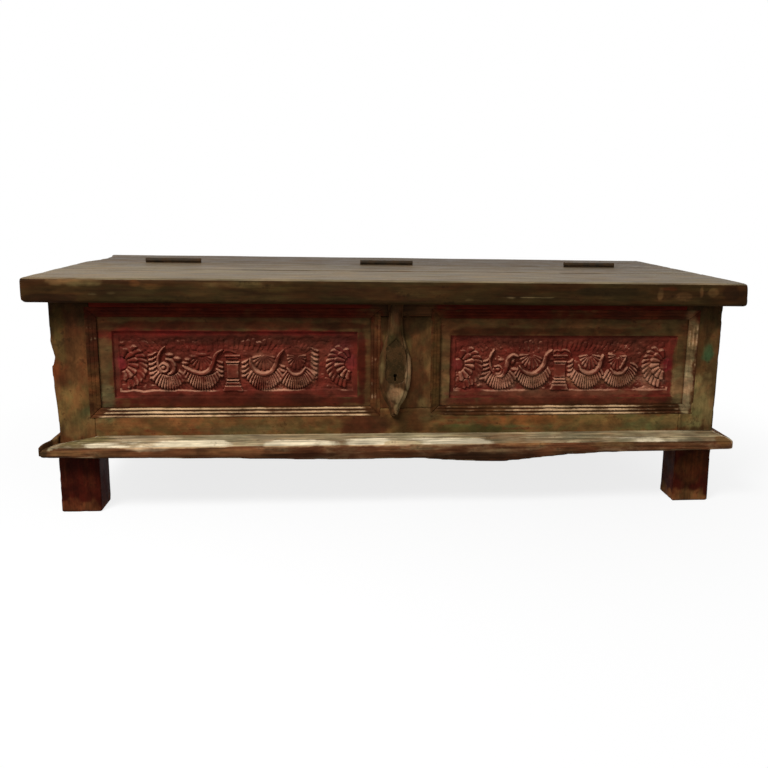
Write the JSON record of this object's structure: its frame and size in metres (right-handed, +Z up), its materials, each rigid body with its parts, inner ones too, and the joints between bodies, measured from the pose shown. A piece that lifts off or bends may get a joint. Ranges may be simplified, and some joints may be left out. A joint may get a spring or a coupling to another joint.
{
  "type": "storage chest",
  "caption": "Low painted wooden chest on square legs, with a frame-and-panel front, a plinth moulding, and a plank lid hinged to a fixed rear board.",
  "frame": {"origin": "on the floor, under the middle of the top", "axes": "+X to the right along the chest, +Y to the back, +Z up"},
  "size_m": [1.354, 0.612, 0.4645],
  "materials": {
    "iron": "dark rusted wrought iron",
    "post_paint": "worn olive and red-brown paint over hardwood",
    "frame_paint": "worn olive and red-brown paint over hardwood",
    "side_paint": "worn red-brown paint over hardwood",
    "red_panel_paint": "worn crimson paint over hardwood, rubbed pale on the carving",
    "reed_paint": "paint rubbed to bare wood on the reeds",
    "plinth_wood": "paint rubbed to bare tan wood",
    "boss_wood": "worn olive paint over carved hardwood",
    "top_wood": "dark varnished planks with a satin shine",
    "bare_wood": "bare aged wood"
  },
  "bodies": {
    "carcass": {"back_bottom_rail": "side_paint", "back_muntin": "side_paint", "back_panel_left": "side_paint", "back_panel_right": "side_paint", "back_top_rail": "side_paint", "corner_post_back_left": "post_paint", "corner_post_back_right": "post_paint", "corner_post_front_left": "post_paint", "corner_post_front_right": "post_paint", "fixed_hinge_screws": "iron", "floor_board_1": "bare_wood", "floor_board_2": "bare_wood", "floor_board_3": "bare_wood", "floor_board_4": "bare_wood", "floor_board_5": "bare_wood", "floor_cleat_back": "bare_wood", "floor_cleat_front": "bare_wood", "front_bottom_rail": "frame_paint", "front_muntin": "frame_paint", "front_panel_left": "red_panel_paint", "front_panel_right": "red_panel_paint", "front_top_rail": "frame_paint", "hinge_left_fixed_leaf": "iron", "hinge_left_pin": "iron", "hinge_middle_fixed_leaf": "iron", "hinge_middle_pin": "iron", "hinge_right_fixed_leaf": "iron", "hinge_right_pin": "iron", "lock_boss": "boss_wood", "lock_plate": "iron", "plinth_front": "plinth_wood", "plinth_left": "plinth_wood", "plinth_right": "plinth_wood", "rear_top_board": "top_wood", "reeds_left_panel": "reed_paint", "reeds_right_panel": "reed_paint", "side_left_bottom_rail": "side_paint", "side_left_panel": "side_paint", "side_left_top_rail": "side_paint", "side_right_bottom_rail": "side_paint", "side_right_panel": "side_paint", "side_right_top_rail": "side_paint"},
    "lid": {"batten_screws": "iron", "hinge_left_lid_leaf": "iron", "hinge_middle_lid_leaf": "iron", "hinge_right_lid_leaf": "iron", "lid_batten_left": "bare_wood", "lid_batten_middle": "bare_wood", "lid_batten_right": "bare_wood", "lid_front_plank": "top_wood", "lid_hinge_screws": "iron", "lid_rear_plank": "top_wood"}
  },
  "joints": [
    {"name": "lid_hinge", "type": "hinge", "parent": "carcass", "child": "lid", "pos_m": [0, 0.064, 0.4598], "axis": [-1, 0, 0], "range_deg": [0, 180]}
  ]
}
